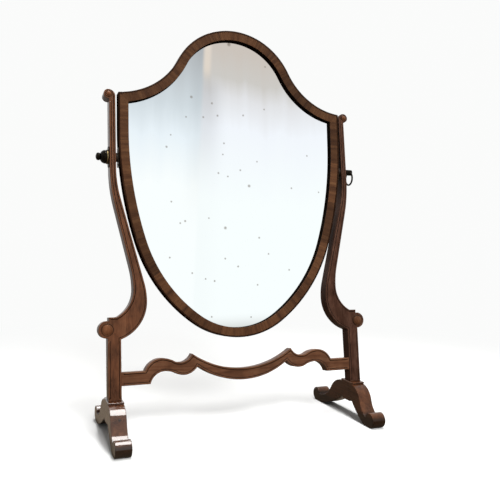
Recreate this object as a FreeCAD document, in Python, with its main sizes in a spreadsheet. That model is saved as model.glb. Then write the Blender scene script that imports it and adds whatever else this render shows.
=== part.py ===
import FreeCAD, Part
import math
import os

# Shield-shaped dressing table mirror on a trestle stand, in millimetres.
# X runs to the right, Y to the back, Z up; the origin is on the table under the middle of the feet.
# The uprights rake back from the feet, and everything above the feet is drawn plumb and then raked.

SIZES = [
    # shield, measured from the pivot axis
    ("shield_half_width", 165.5),
    ("shield_rise", 193.0),
    ("shield_drop", 242.0),
    ("corner_rise", 86.5),
    ("straight_rise", 37.5),
    ("crest_radius", 93.5),
    ("shoulder_radius", 101.0),
    ("haunch_radius", 211.0),
    ("side_turn", 17.4),
    ("haunch_turn", 37.0),
    ("rest_nod", 2.5),
    # frame section
    ("band_width", 13.5),
    ("lipping_width", 2.0),
    ("lipping_proud", 0.5),
    ("crossband_thick", 1.0),
    ("frame_depth", 13.5),
    ("axis_depth", 6.5),
    ("lip_thick", 4.5),
    ("rebate_width", 5.0),
    ("glass_thick", 3.0),
    ("glass_clear", 0.5),
    ("block_length", 14.0),
    ("block_width", 3.5),
    ("block_gap", 2.0),
    ("backboard_thick", 3.5),
    ("backboard_margin", 1.0),
    ("back_screw_dia", 2.2),
    ("back_screw_head", 4.8),
    ("back_screw_crown", 2.9),
    ("back_screw_rise", 1.2),
    ("back_screw_length", 10.0),
    # stand
    ("post_rake", 8.5),
    ("shield_clear", 18.2),
    ("side_gap", 3.4),
    ("upright_depth", 16.0),
    ("shaft_width", 8.2),
    ("post_width", 16.5),
    ("post_inset", 3.9),
    ("post_height", 87.3),
    ("curve_drop", 14.5),
    ("belly_rise", 35.0),
    ("belly_inset", 37.8),
    ("belly_radius", 50.7),
    ("belly_ease", 0.22),
    ("belly_upper_radius", 90.0),
    ("waist_rise", 35.3),
    ("waist_inset", 28.5),
    ("waist_ease", 0.32),
    ("waist_upper_radius", 120.0),
    ("ledge_rise", 4.6),
    ("ledge_length", 10.0),
    ("ledge_inset", 2.0),
    ("lower_scroll_radius", 11.0),
    ("lower_scroll_shift", 0.5),
    ("top_scroll_radius", 6.5),
    ("top_scroll_rise", 83.5),
    ("top_scroll_shift", 0.5),
    ("roundel_radius", 8.1),
    ("roundel_rise", 2.3),
    ("boss_radius", 4.6),
    ("boss_rise", 1.8),
    ("bead_width", 1.3),
    ("bead_rise", 0.8),
    ("bead_swell", 0.5),
    ("spigot_dia", 3.6),
    ("spigot_length", 7.0),
    ("glue_gap", 0.1),
    ("tenon_depth", 9.0),
    ("tenon_cover", 9.5),
    ("tenon_shoulder", 3.0),
    # stretcher, its features measured from the posts and from its level ends
    ("rail_thick", 14.0),
    ("rail_rise", 16.5),
    ("rail_width", 16.7),
    ("rail_tenon", 10.0),
    ("step_reach", 30.0),
    ("hump_reach", 55.0),
    ("valley_reach", 78.0),
    ("peak_reach", 93.0),
    ("hump_rise", 14.8),
    ("hump_bulge", 5.0),
    ("hump_ease", 0.5),
    ("valley_rise", 8.4),
    ("peak_rise", 18.6),
    ("upper_sag", 4.2),
    ("lower_sag", 2.9),
    ("undercut", 7.0),
    # feet
    ("foot_margin", 1.75),
    ("foot_height", 52.0),
    ("land_margin", 8.0),
    ("lip_height", 1.6),
    ("quirk_depth", 1.2),
    ("quirk_height", 2.8),
    ("front_knee_reach", 20.0),
    ("back_knee_reach", 29.0),
    ("front_knee_drop", 19.0),
    ("back_knee_drop", 15.2),
    ("knee_bulge", 4.2),
    ("front_shin_sag", 2.0),
    ("back_shin_sag", 5.8),
    ("front_toe_reach", 24.5),
    ("back_toe_reach", 46.5),
    ("toe_radius", 10.2),
    ("notch_turn", 15.0),
    ("pad_length", 14.0),
    ("arch_height", 26.5),
    ("front_arch_sag", 1.5),
    ("back_arch_sag", 3.2),
    ("pendant_half", 8.0),
    ("pendant_slope", 5.0),
    ("pendant_drop", 3.0),
    # pivot fittings
    ("shank_dia", 5.0),
    ("shank_short", 0.5),
    ("running_clear", 0.1),
    ("overcut", 1.0),
    ("plate_length", 25.0),
    ("plate_width", 10.0),
    ("plate_thick", 2.6),
    ("plate_letin", 1.0),
    ("plate_boss_dia", 8.0),
    ("plate_boss_cover", 1.5),
    ("plate_screw_pitch", 18.0),
    ("plate_screw_dia", 2.2),
    ("plate_screw_head", 4.4),
    ("plate_screw_sink", 1.6),
    ("plate_screw_length", 7.0),
    ("washer_dia", 12.0),
    ("washer_clear", 0.15),
    ("washer_bore_clear", 0.4),
    ("escutcheon_length", 28.0),
    ("escutcheon_width", 10.0),
    ("escutcheon_thick", 1.2),
    ("knob_flange", 9.5),
    ("knob_rim", 2.4),
    ("knob_bead", 0.7),
    ("knob_taper", 7.3),
    ("knob_bulge", 1.6),
    ("knob_neck", 4.2),
    ("knob_button", 4.6),
    ("knob_swell", 0.9),
    ("knob_cap", 1.3),
    ("knob_socket", 6.0),
    ("stem_flange", 4.4),
    ("stem_flange_thick", 1.3),
    ("stem_neck", 2.9),
    ("stem_neck_length", 1.4),
    ("stem_rib", 1.9),
    ("stem_groove", 0.7),
    ("stem_tip", 2.3),
    ("eye_length", 6.4),
    ("eye_radius", 4.3),
    ("eye_clear", 0.28),
    ("ring_radius", 9.6),
    ("ring_wire", 1.3),
]

doc = FreeCAD.newDocument("dressing_mirror")
sheet = doc.addObject("Spreadsheet::Sheet", "sizes")
for row, (alias, number) in enumerate(SIZES, 1):
    sheet.set("A%d" % row, alias)
    sheet.set("B%d" % row, str(number))
    sheet.setAlias("B%d" % row, alias)
doc.recompute()


def size(alias):
    return float(sheet.get(alias))


# Points, paths and simple solids

def point(across, up):
    return FreeCAD.Vector(across, up, 0)


def line(start, end):
    return [("line", start, end)]


def arc(start, middle, end):
    return [("arc", start, middle, end)]


def turn(centre, radius, first, last):
    """Arc about a centre, angles in degrees from the first axis of the plane."""
    spots = []
    for angle in (first, (first + last) / 2, last):
        a = math.radians(angle)
        spots.append(centre + point(math.cos(a), math.sin(a)) * radius)
    return arc(*spots)


def bowed(start, end, bulge):
    """Arc between two points that bows to the left of the chord by the bulge."""
    chord = end - start
    side = point(-chord.y, chord.x) * (bulge / chord.Length)
    return arc(start, (start + end) * 0.5 + side, end)


def dome(rim, foot, tip):
    """Arc from a rim to a tip on the turning axis, square to the axis there; the foot is under the rim."""
    rise = (tip - foot).Length
    radius = ((rim - foot).Length ** 2 + rise ** 2) / (2 * rise)
    centre = tip + (foot - tip) * (radius / rise)
    outward = (rim + tip) * 0.5 - centre
    return arc(rim, centre + outward * (radius / outward.Length), tip)


def backwards(path):
    return [(piece[0],) + tuple(reversed(piece[1:])) for piece in reversed(path)]


def mirrored(path):
    return [(piece[0],) + tuple(point(-p.x, p.y) for p in piece[1:]) for piece in path]


def start_of(path):
    return path[0][1]


def end_of(path):
    return path[-1][-1]


def steps(*corners):
    """Straight lines from corner to corner."""
    path = []
    for first, second in zip(corners, corners[1:]):
        path += line(first, second)
    return path


def new_body(name, plane, path):
    """Body with one closed sketch on an origin plane."""
    body = doc.addObject("PartDesign::Body", name)
    sketch = body.newObject("Sketcher::SketchObject", name + "_outline")
    base = [feature for feature in body.Origin.OriginFeatures if feature.Role == plane][0]
    sketch.AttachmentSupport = [(base, "")]
    sketch.MapMode = "FlatFace"
    for piece in path:
        if piece[0] == "line":
            sketch.addGeometry(Part.LineSegment(*piece[1:]), False)
        else:
            sketch.addGeometry(Part.Arc(*piece[1:]), False)
    return body, sketch


def slab(name, plane, path, thick):
    """Outline padded by a length bound to the sheet."""
    body, sketch = new_body(name, plane, path)
    pad = body.newObject("PartDesign::Pad", name + "_pad")
    pad.Profile = sketch
    pad.setExpression("Length", thick)
    doc.recompute()
    return body


def turned(name, axis, path):
    """Half section on the XY plane turned about one of the sketch axes."""
    body, sketch = new_body(name, "XY_Plane", path)
    spin = body.newObject("PartDesign::Revolution", name + "_turning")
    spin.Profile = sketch
    spin.ReferenceAxis = (sketch, [axis])
    spin.Angle = 360
    doc.recompute()
    return body


def block(name, corner, length, width, height):
    box = doc.addObject("Part::Box", name)
    box.setExpression("Length", length)
    box.setExpression("Width", width)
    box.setExpression("Height", height)
    box.Placement.Base = corner
    return box


TURN_TO = {
    "x": FreeCAD.Rotation(FreeCAD.Vector(0, 1, 0), 90),
    "y": FreeCAD.Rotation(FreeCAD.Vector(1, 0, 0), -90),
    "-x": FreeCAD.Rotation(FreeCAD.Vector(0, 1, 0), -90),
    "-y": FreeCAD.Rotation(FreeCAD.Vector(1, 0, 0), 90),
}


def rod(name, base, direction, dia, length):
    bar = doc.addObject("Part::Cylinder", name)
    bar.setExpression("Radius", "(%s) / 2" % dia)
    bar.setExpression("Height", length)
    bar.Placement = FreeCAD.Placement(base, TURN_TO[direction])
    return bar


def taper(name, base, direction, first_dia, last_dia, length):
    cone = doc.addObject("Part::Cone", name)
    cone.setExpression("Radius1", "(%s) / 2" % first_dia)
    cone.setExpression("Radius2", "(%s) / 2" % last_dia)
    cone.setExpression("Height", length)
    cone.Placement = FreeCAD.Placement(base, TURN_TO[direction])
    return cone


def joined(name, solids):
    fuse = doc.addObject("Part::MultiFuse", name)
    fuse.Shapes = solids
    fuse.Refine = True
    return fuse


def cut(name, solid, tools):
    hollow = doc.addObject("Part::Cut", name)
    hollow.Base = solid
    hollow.Tool = tools[0] if len(tools) == 1 else joined(name + "_tools", tools)
    return hollow


def group(name, solids):
    compound = doc.addObject("Part::Compound", name)
    compound.Links = solids
    return compound


NODES = []


def node(label, solid, placement=None):
    """A finished sub-part under its own name, moved to its place."""
    if placement is not None:
        solid.Placement = placement.multiply(solid.Placement)
    solid.Label = label
    NODES.append(solid)


SIDES = (("left", -1), ("right", 1))
HOLE = " + sizes.running_clear"
CLEAR = size("running_clear")
GLUE = size("glue_gap")
OVERCUT = size("overcut")

# Heights before raking: the stretcher stands over the feet and the point of the shield over the stretcher

FOOT_HEIGHT = size("foot_height")
RAIL_FOOT = FOOT_HEIGHT + size("rail_rise")
RAIL_TOP = RAIL_FOOT + size("rail_width")
PIVOT_HEIGHT = RAIL_TOP + size("peak_rise") + size("shield_clear") + size("shield_drop")

# The back toes reach further than the front ones, so the posts stand in front of the middle of the feet

DEPTH = size("upright_depth")
LAND = DEPTH / 2 + size("land_margin")
FRONT_TOE = LAND + size("front_knee_reach") + size("front_toe_reach")
BACK_TOE = LAND + size("back_knee_reach") + size("back_toe_reach")
POST_PLACE = (FRONT_TOE - BACK_TOE) / 2
RAKE = FreeCAD.Placement(
    FreeCAD.Vector(0, POST_PLACE, 0), FreeCAD.Rotation(FreeCAD.Vector(1, 0, 0), -size("post_rake")),
    FreeCAD.Vector(0, 0, FOOT_HEIGHT))
PIVOT = RAKE.multVec(FreeCAD.Vector(0, 0, PIVOT_HEIGHT))

# Shield outline: crest and shoulder arcs, straight sides, then three tangent arcs to the foot of the shield.
# An inward offset keeps every arc centre, so all layers of the frame share one outline.

HALF = size("shield_half_width")
CREST = point(0, size("shield_rise") - size("crest_radius"))
CORNER = point(HALF, size("corner_rise"))


def shoulder_centre():
    """Centre at the two radii's distance from the crest centre and one radius from the corner."""
    reach = CORNER - CREST
    near = size("shoulder_radius")
    far = size("crest_radius") + near
    along = (far ** 2 - near ** 2 + reach.Length ** 2) / (2 * reach.Length)
    across = math.sqrt(far ** 2 - along ** 2)
    unit = reach * (1 / reach.Length)
    return CREST + unit * along + point(-unit.y, unit.x) * across


def lower_radii():
    """Side and toe radii that bring the three arcs from the straight side to the bottom."""
    first = math.radians(size("side_turn"))
    second = first + math.radians(size("haunch_turn"))
    haunch = size("haunch_radius")
    height = size("straight_rise") + size("shield_drop")
    width_left = HALF - haunch * (math.cos(first) - math.cos(second))
    height_left = height - haunch * (math.sin(second) - math.sin(first))
    a, b = 1 - math.cos(first), math.cos(second)
    c, d = math.sin(first), 1 - math.sin(second)
    whole = a * d - b * c
    return (width_left * d - b * height_left) / whole, (a * height_left - c * width_left) / whole


SHOULDER = shoulder_centre()
SHOULDER_TURN = math.degrees(math.atan2(SHOULDER.y - CREST.y, SHOULDER.x - CREST.x))
SIDE_RADIUS, TOE_RADIUS = lower_radii()
SIDE_TURN = size("side_turn")
TOE_TURN = SIDE_TURN + size("haunch_turn")
SIDE = point(HALF - SIDE_RADIUS, size("straight_rise"))
HAUNCH = SIDE + point(math.cos(math.radians(SIDE_TURN)), -math.sin(math.radians(SIDE_TURN))) * (
    SIDE_RADIUS - size("haunch_radius"))
TOE = point(0, TOE_RADIUS - size("shield_drop"))


def corner_at(inset):
    radius = size("shoulder_radius") + inset
    across = HALF - inset - SHOULDER.x
    return point(HALF - inset, SHOULDER.y - math.sqrt(radius ** 2 - across ** 2))


def half_crest(inset):
    corner = corner_at(inset)
    last = math.degrees(math.atan2(corner.y - SHOULDER.y, corner.x - SHOULDER.x))
    crest = turn(CREST, size("crest_radius") - inset, 90, SHOULDER_TURN)
    shoulder = turn(SHOULDER, size("shoulder_radius") + inset, SHOULDER_TURN - 180, last)
    return crest + shoulder


def crest_path(inset):
    return backwards(mirrored(half_crest(inset))) + half_crest(inset)


def stile_path(inset):
    straight = line(corner_at(inset), point(HALF - inset, size("straight_rise")))
    side = turn(SIDE, SIDE_RADIUS - inset, 0, -SIDE_TURN)
    haunch = turn(HAUNCH, size("haunch_radius") - inset, -SIDE_TURN, -TOE_TURN)
    return straight + side + haunch


def half_toe(inset):
    return turn(TOE, TOE_RADIUS - inset, -TOE_TURN, -90)


def base_path(inset):
    return half_toe(inset) + backwards(mirrored(half_toe(inset)))


def side_run(inset):
    return stile_path(inset) + half_toe(inset)


def whole_path(inset):
    return crest_path(inset) + side_run(inset) + backwards(mirrored(side_run(inset)))


def on_left(path_at):
    return lambda inset: mirrored(path_at(inset))


def strip(path_at, outer, inner):
    """Closed outline between two insets of one run of the shield."""
    far = path_at(outer)
    near = path_at(inner)
    return far + line(end_of(far), end_of(near)) + backwards(near) + line(start_of(near), start_of(far))


def side_at(height, inset):
    """Half width of the shield at a height on its side arc."""
    return SIDE.x + math.sqrt((SIDE_RADIUS - inset) ** 2 - (height - SIDE.y) ** 2)


def round_shield(inset, places):
    """Points on the right half of the outline with the outward angle there.

    A place is a share of the straight side from its foot, or an angle on one of the arcs.
    """
    arcs = {
        "crest": (CREST, size("crest_radius") - inset),
        "side": (SIDE, SIDE_RADIUS - inset),
        "haunch": (HAUNCH, size("haunch_radius") - inset),
        "toe": (TOE, TOE_RADIUS - inset),
    }
    spots = []
    for name, where in places:
        if name == "straight":
            rise = size("straight_rise") + where * (size("corner_rise") - size("straight_rise"))
            spots.append((point(HALF - inset, rise), 0.0))
        else:
            centre, radius = arcs[name]
            a = math.radians(where)
            spots.append((centre + point(math.cos(a), math.sin(a)) * radius, where))
    return spots


# Layers of the mirror from front to back, measured from the pivot axis

CORE_FRONT = -size("axis_depth")
CORE_BACK = CORE_FRONT + size("frame_depth")
GLASS_FRONT = CORE_FRONT + size("lip_thick")
GLASS_BACK = GLASS_FRONT + size("glass_thick")
LIPPING = size("lipping_width")
SIGHT = size("band_width")
REBATE = SIGHT - size("rebate_width")
TILT = RAKE.multiply(FreeCAD.Placement(
    FreeCAD.Vector(0, 0, PIVOT_HEIGHT), FreeCAD.Rotation(FreeCAD.Vector(1, 0, 0), size("rest_nod"))))


def layer(name, path, thick, back):
    """Slab of the mirror whose rear face lies at the given depth."""
    body = slab(name, "XZ_Plane", path, thick)
    body.Placement.Base = FreeCAD.Vector(0, back, 0)
    return body


# Pivot positions along X, for the right side

SHAFT_IN = HALF + size("side_gap")
SHAFT_OUT = SHAFT_IN + size("shaft_width")
PLATE_IN = side_at(0, 0) - size("plate_letin")
PLATE_OUT = PLATE_IN + size("plate_thick")
BOSS_END = side_at(0, REBATE) + size("plate_boss_cover")
BOSS_LENGTH = PLATE_IN - BOSS_END
FITTING_FACE = SHAFT_OUT + size("escutcheon_thick")
HEAD_START = FITTING_FACE + CLEAR


def facing(sign):
    return "x" if sign > 0 else "-x"


def at(sign, across, depth=0.0, up=0.0):
    return FreeCAD.Vector(sign * across, depth, up)


def box_corner(sign, near, far, depth, up):
    return FreeCAD.Vector(min(sign * near, sign * far), depth, up)


def plate_screw_spots():
    half = size("plate_screw_pitch") / 2
    return [(side, sign, up) for side, sign in SIDES for up in (-half, half)]


def plate_hollows(name):
    """Recesses and holes for the pivot plates and their screws, in the mirror's own frame."""
    tools = []
    for side, sign in SIDES:
        recess = block(
            "%s_%s_recess" % (name, side),
            box_corner(sign, PLATE_IN, HALF + OVERCUT, -size("plate_width") / 2, -size("plate_length") / 2),
            "%.6f + sizes.overcut" % (HALF - PLATE_IN), "sizes.plate_width", "sizes.plate_length")
        boss_hole = rod(
            "%s_%s_boss_hole" % (name, side), at(sign, BOSS_END - CLEAR), facing(sign),
            "sizes.plate_boss_dia" + HOLE, "%.6f + sizes.running_clear + sizes.overcut" % BOSS_LENGTH)
        tools += [recess, boss_hole]
    for count, (side, sign, up) in enumerate(plate_screw_spots()):
        start = PLATE_OUT - size("plate_screw_length") - CLEAR
        tools.append(rod("%s_plate_screw_hole_%d" % (name, count), at(sign, start, 0, up), facing(sign),
                         "sizes.plate_screw_dia" + HOLE, "sizes.plate_screw_length"))
    return tools


# Backboard screws stand round the middle of the frame's wall, clear of the pivot plates

BACK_SCREW_PLACES = (("crest", 50.0), ("straight", 0.7), ("side", -11.0), ("haunch", -40.0), ("toe", -75.0))


def back_screw_spots():
    spots = []
    for spot, _ in round_shield((LIPPING + REBATE) / 2, BACK_SCREW_PLACES):
        spots += [spot, point(-spot.x, spot.y)]
    return spots


BACK = CORE_BACK + size("backboard_thick")


def back_screw_holes(name):
    tip = BACK - size("back_screw_length") - CLEAR
    holes = []
    for count, spot in enumerate(back_screw_spots()):
        holes.append(rod("%s_back_hole_%d" % (name, count), FreeCAD.Vector(spot.x, tip, spot.y), "y",
                         "sizes.back_screw_dia" + HOLE, "sizes.back_screw_length + sizes.overcut"))
    return holes


# Frame members: a lip in front of the glass and a thinner wall behind it

def frame_member(label, path_at, tools):
    lip = layer(label + "_lip", strip(path_at, LIPPING, SIGHT), "sizes.lip_thick", GLASS_FRONT)
    wall = layer(label + "_wall", strip(path_at, LIPPING, REBATE), "sizes.frame_depth - sizes.lip_thick",
                 CORE_BACK)
    whole = joined(label + "_blank", [lip, wall])
    node(label, cut(label + "_member", whole, tools + back_screw_holes(label)), TILT)


frame_member("crest_rail", crest_path, [])
frame_member("left_stile", on_left(stile_path), plate_hollows("left_stile"))
frame_member("right_stile", stile_path, plate_hollows("right_stile"))
frame_member("base_rail", base_path, [])

# Crossbanding and lipping in three runs

RUNS = (("crest", crest_path), ("left", on_left(side_run)), ("right", side_run))
for run, path_at in RUNS:
    node(run + "_crossbanding",
         layer(run + "_veneer", strip(path_at, LIPPING, SIGHT), "sizes.crossband_thick", CORE_FRONT), TILT)
    edge = layer(run + "_edge", strip(path_at, 0.0, LIPPING),
                 "sizes.frame_depth + sizes.crossband_thick + sizes.lipping_proud", CORE_BACK)
    if run != "crest":
        edge = cut(run + "_edge_cut", edge, plate_hollows(run + "_edge"))
    node(run + "_lipping", edge, TILT)

# Glass, the blocks behind it and the backboard

node("mirror_glass",
     layer("glass_plate", whole_path(REBATE + size("glass_clear")), "sizes.glass_thick", GLASS_BACK), TILT)


BLOCK_PLACES = (("crest", 70.0), ("straight", 0.3), ("side", -15.0), ("haunch", -36.0))


def glass_blocks():
    """Bars round the rebate, each drawn in from the wall by the sag of the tightest curve over its length."""
    sag = size("block_length") ** 2 / (8 * (size("crest_radius") - REBATE))
    middle = REBATE + GLUE + sag + size("block_width") / 2
    thick = "sizes.frame_depth - sizes.lip_thick - sizes.glass_thick - sizes.block_gap"
    solids = []
    for count, (spot, angle) in enumerate(round_shield(middle, BLOCK_PLACES)):
        for side, sign in SIDES:
            bar = block("glass_block_%s_%d" % (side, count), FreeCAD.Vector(), "sizes.block_width",
                        thick, "sizes.block_length")
            tilt = angle if sign > 0 else 180 - angle
            spin = FreeCAD.Rotation(FreeCAD.Vector(0, 1, 0), -tilt)
            half = FreeCAD.Vector(size("block_width") / 2, 0, size("block_length") / 2)
            seat = FreeCAD.Vector(sign * spot.x, GLASS_BACK, spot.y)
            bar.Placement = FreeCAD.Placement(seat - spin.multVec(half), spin)
            solids.append(bar)
    return solids


node("glass_blocks", group("glass_block_set", glass_blocks()), TILT)
node("backboard",
     cut("backboard_drilled",
         layer("backboard_blank", whole_path(LIPPING + size("backboard_margin")), "sizes.backboard_thick",
               BACK),
         back_screw_holes("backboard")), TILT)


def back_screws():
    solids = []
    for count, spot in enumerate(back_screw_spots()):
        shank = rod("back_shank_%d" % count, FreeCAD.Vector(spot.x, BACK, spot.y), "-y",
                    "sizes.back_screw_dia", "sizes.back_screw_length")
        head = taper("back_head_%d" % count, FreeCAD.Vector(spot.x, BACK, spot.y), "y",
                     "sizes.back_screw_head", "sizes.back_screw_crown", "sizes.back_screw_rise")
        solids.append(joined("back_screw_%d" % count, [shank, head]))
    return solids


node("backboard_screws", group("back_screw_set", back_screws()), TILT)


# Pivot plates let into the edges of the frame, their screws and the friction washers

def csk_holes(side, sign):
    holes = []
    for count, (place, _, up) in enumerate(plate_screw_spots()):
        if place != side:
            continue
        holes.append(taper("%s_csk_%d" % (side, count), at(sign, PLATE_OUT - size("plate_screw_sink"), 0, up),
                           facing(sign), "sizes.plate_screw_dia" + HOLE, "sizes.plate_screw_head" + HOLE,
                           "sizes.plate_screw_sink"))
        holes.append(rod("%s_csk_shank_%d" % (side, count), at(sign, PLATE_IN, 0, up), facing(sign),
                         "sizes.plate_screw_dia" + HOLE, "sizes.plate_thick"))
    return holes


for side, sign in SIDES:
    plate = block(side + "_plate_blank",
                  box_corner(sign, PLATE_IN, PLATE_OUT, -size("plate_width") / 2, -size("plate_length") / 2),
                  "sizes.plate_thick", "sizes.plate_width", "sizes.plate_length")
    boss = rod(side + "_plate_boss", at(sign, BOSS_END), facing(sign), "sizes.plate_boss_dia",
               "%.6f" % BOSS_LENGTH)
    bore = rod(side + "_plate_bore", at(sign, BOSS_END), facing(sign), "sizes.shank_dia" + HOLE,
               "%.6f + sizes.plate_thick" % BOSS_LENGTH)
    whole = joined(side + "_plate_whole", [plate, boss])
    node(side + "_pivot_plate", cut(side + "_plate_cut", whole, [bore] + csk_holes(side, sign)), TILT)

    thick = "%.6f - sizes.washer_clear" % (SHAFT_IN - PLATE_OUT)
    washer = rod(side + "_washer_disc", at(sign, PLATE_OUT), facing(sign), "sizes.washer_dia", thick)
    eye = rod(side + "_washer_eye", at(sign, PLATE_OUT), facing(sign),
              "sizes.shank_dia + sizes.washer_bore_clear", thick)
    node(side + "_washer", cut(side + "_washer_cut", washer, [eye]), TILT)


def plate_screws():
    solids = []
    for count, (side, sign, up) in enumerate(plate_screw_spots()):
        shank = rod("plate_shank_%d" % count, at(sign, PLATE_OUT - size("plate_screw_length"), 0, up),
                    facing(sign), "sizes.plate_screw_dia",
                    "sizes.plate_screw_length - sizes.plate_screw_sink")
        head = taper("plate_head_%d" % count, at(sign, PLATE_OUT - size("plate_screw_sink"), 0, up),
                     facing(sign), "sizes.plate_screw_dia", "sizes.plate_screw_head",
                     "sizes.plate_screw_sink")
        solids.append(joined("plate_screw_%d" % count, [shank, head]))
    return solids


node("pivot_plate_screws", group("plate_screw_set", plate_screws()), TILT)

# Uprights: post, lower scroll, belly, S-curve and straight shaft with the top scroll

POST_IN = SHAFT_IN - size("post_inset")
POST_OUT = POST_IN + size("post_width")
LOWER_SCROLL = point(POST_OUT + size("lower_scroll_shift"), FOOT_HEIGHT + size("post_height"))
TOP_SCROLL = point(SHAFT_OUT + size("top_scroll_shift"), PIVOT_HEIGHT + size("top_scroll_rise"))
CURVE_TOP = PIVOT_HEIGHT - size("curve_drop")
LEAN_DROP = DEPTH / 2 * math.tan(math.radians(size("post_rake")))


def ogee(foot, head, ease, lower_radius):
    """Upright S-curve between two vertical tangents: arc, slanted line, reverse arc.

    The ease, between 0 and 1, says how much steeper the slanted line is than the straight way up.
    """
    across = head.x - foot.x
    up = head.y - foot.y
    s = (1 + ease) * math.atan2(across, up)
    slope = math.degrees(s)
    sweep = (up - across / math.tan(s)) / (math.sin(s) - (1 - math.cos(s)) / math.tan(s))
    upper_radius = sweep - lower_radius
    lower = turn(point(foot.x + lower_radius, foot.y), lower_radius, 180, 180 - slope)
    upper = turn(point(head.x - upper_radius, head.y), upper_radius, -slope, 0)
    return lower + line(end_of(lower), start_of(upper)) + upper


def upright_path():
    post_foot = FOOT_HEIGHT - LEAN_DROP
    scroll_radius = size("lower_scroll_radius")
    low = math.degrees(math.acos((POST_OUT - LOWER_SCROLL.x) / scroll_radius))
    high = math.degrees(math.acos(-size("ledge_inset") / scroll_radius))
    path = line(point(POST_IN, post_foot), point(POST_OUT, post_foot))
    scroll = turn(LOWER_SCROLL, scroll_radius, -low, high)
    path += line(end_of(path), start_of(scroll)) + scroll
    quirk = end_of(path) + point(0, size("ledge_rise"))
    ledge = quirk - point(size("ledge_length"), 0)
    path += steps(end_of(path), quirk, ledge)

    waist = point(SHAFT_OUT - size("waist_inset"), ledge.y + size("waist_rise"))
    reach = ledge - waist
    hollow = reach.Length ** 2 / (2 * reach.x)
    start = math.degrees(math.atan2(reach.y, reach.x - hollow))
    path += turn(point(waist.x + hollow, waist.y), hollow, start, -180)
    path += ogee(waist, point(SHAFT_OUT, CURVE_TOP), size("waist_ease"), size("waist_upper_radius"))

    top_radius = size("top_scroll_radius")
    into_scroll = math.degrees(math.acos((SHAFT_OUT - TOP_SCROLL.x) / top_radius))
    scroll = turn(TOP_SCROLL, top_radius, -into_scroll, 90)
    path += line(end_of(path), start_of(scroll)) + scroll
    brow = TOP_SCROLL.x - SHAFT_IN
    path += turn(point(TOP_SCROLL.x, TOP_SCROLL.y + top_radius - brow), brow, 90, 180)

    belly = point(SHAFT_IN - size("belly_inset"), LOWER_SCROLL.y + size("belly_rise"))
    inner = ogee(belly, point(SHAFT_IN, CURVE_TOP), size("belly_ease"), size("belly_upper_radius"))
    path += line(end_of(path), end_of(inner)) + backwards(inner)
    belly_radius = size("belly_radius")
    across = (POST_IN - belly.x - belly_radius) / belly_radius
    path += turn(point(belly.x + belly_radius, belly.y), belly_radius, 180,
                 360 - math.degrees(math.acos(across)))
    return path + line(end_of(path), start_of(path))


PENDANT = size("arch_height") - size("pendant_drop")
TENON_END = PENDANT + size("tenon_cover")


def tenon_box(name, sign, gap):
    """Tenon under the post, or the mortise for it when a gap is given; its head passes the slanted foot."""
    shoulder = size("tenon_shoulder")
    near = POST_IN + shoulder - gap
    far = POST_OUT - shoulder + gap
    corner = box_corner(sign, near, far, -size("tenon_depth") / 2 - gap, TENON_END - gap)
    return block(name, corner, "sizes.post_width - 2 * sizes.tenon_shoulder + 2 * %g" % gap,
                 "sizes.tenon_depth + 2 * %g" % gap,
                 "sizes.foot_height - %.6f + %g" % (TENON_END - LEAN_DROP, gap))


def rail_tenon_box(name, sign, gap):
    """Tenon on the end of the stretcher, or the mortise for it when a gap is given."""
    shoulder = size("tenon_shoulder")
    corner = box_corner(sign, POST_IN, POST_IN + size("rail_tenon") + gap, -size("tenon_depth") / 2 - gap,
                        RAIL_FOOT + shoulder - gap)
    return block(name, corner, "sizes.rail_tenon + %g" % gap, "sizes.tenon_depth + 2 * %g" % gap,
                 "sizes.rail_width - 2 * sizes.tenon_shoulder + 2 * %g" % gap)


def under_land(side, sign):
    """Level block under the foot's land, turned into the plumb drawing; it cuts the post's foot level."""
    corner = box_corner(sign, POST_IN - OVERCUT, POST_OUT + OVERCUT, POST_PLACE - DEPTH, FOOT_HEIGHT - DEPTH)
    waste = block(side + "_post_waste", corner, "sizes.post_width + 2 * sizes.overcut",
                  "2 * sizes.upright_depth", "sizes.upright_depth")
    waste.Placement = RAKE.inverse().multiply(waste.Placement)
    return waste


for side, sign in SIDES:
    outline = upright_path() if sign > 0 else mirrored(upright_path())
    board = slab(side + "_upright_board", "XZ_Plane", outline, "sizes.upright_depth")
    board.setExpression("Placement.Base.y", "sizes.upright_depth / 2")
    post = cut(side + "_post_trim", board, [under_land(side, sign)])
    blank = joined(side + "_upright_blank", [post, tenon_box(side + "_tenon", sign, 0.0)])
    pivot_hole = rod(side + "_pivot_hole", at(sign, SHAFT_IN - OVERCUT, 0, PIVOT_HEIGHT), facing(sign),
                     "sizes.shank_dia" + HOLE, "sizes.shaft_width + 2 * sizes.overcut")
    holes = [pivot_hole, rail_tenon_box(side + "_rail_mortise", sign, GLUE)]
    for name, centre in (("roundel", LOWER_SCROLL), ("boss", TOP_SCROLL)):
        holes.append(rod("%s_%s_hole" % (side, name), at(sign, centre.x, -DEPTH / 2, centre.y), "y",
                         "sizes.spigot_dia" + HOLE, "sizes.spigot_length + sizes.glue_gap"))
    node(side + "_upright", cut(side + "_upright_cut", blank, holes), RAKE)


# Roundels and bosses: a bead and a dome in front, a spigot behind

def button_path(radius, rise):
    spigot = size("spigot_dia") / 2
    tail = size("spigot_length")
    edge = point(radius, 0)
    rim = point(radius - size("bead_width"), -size("bead_rise"))
    path = steps(point(0, tail), point(spigot, tail), point(spigot, 0), edge)
    path += bowed(edge, rim, size("bead_swell"))
    path += dome(rim, point(0, rim.y), point(0, rim.y - rise))
    return path + line(end_of(path), start_of(path))


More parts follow.
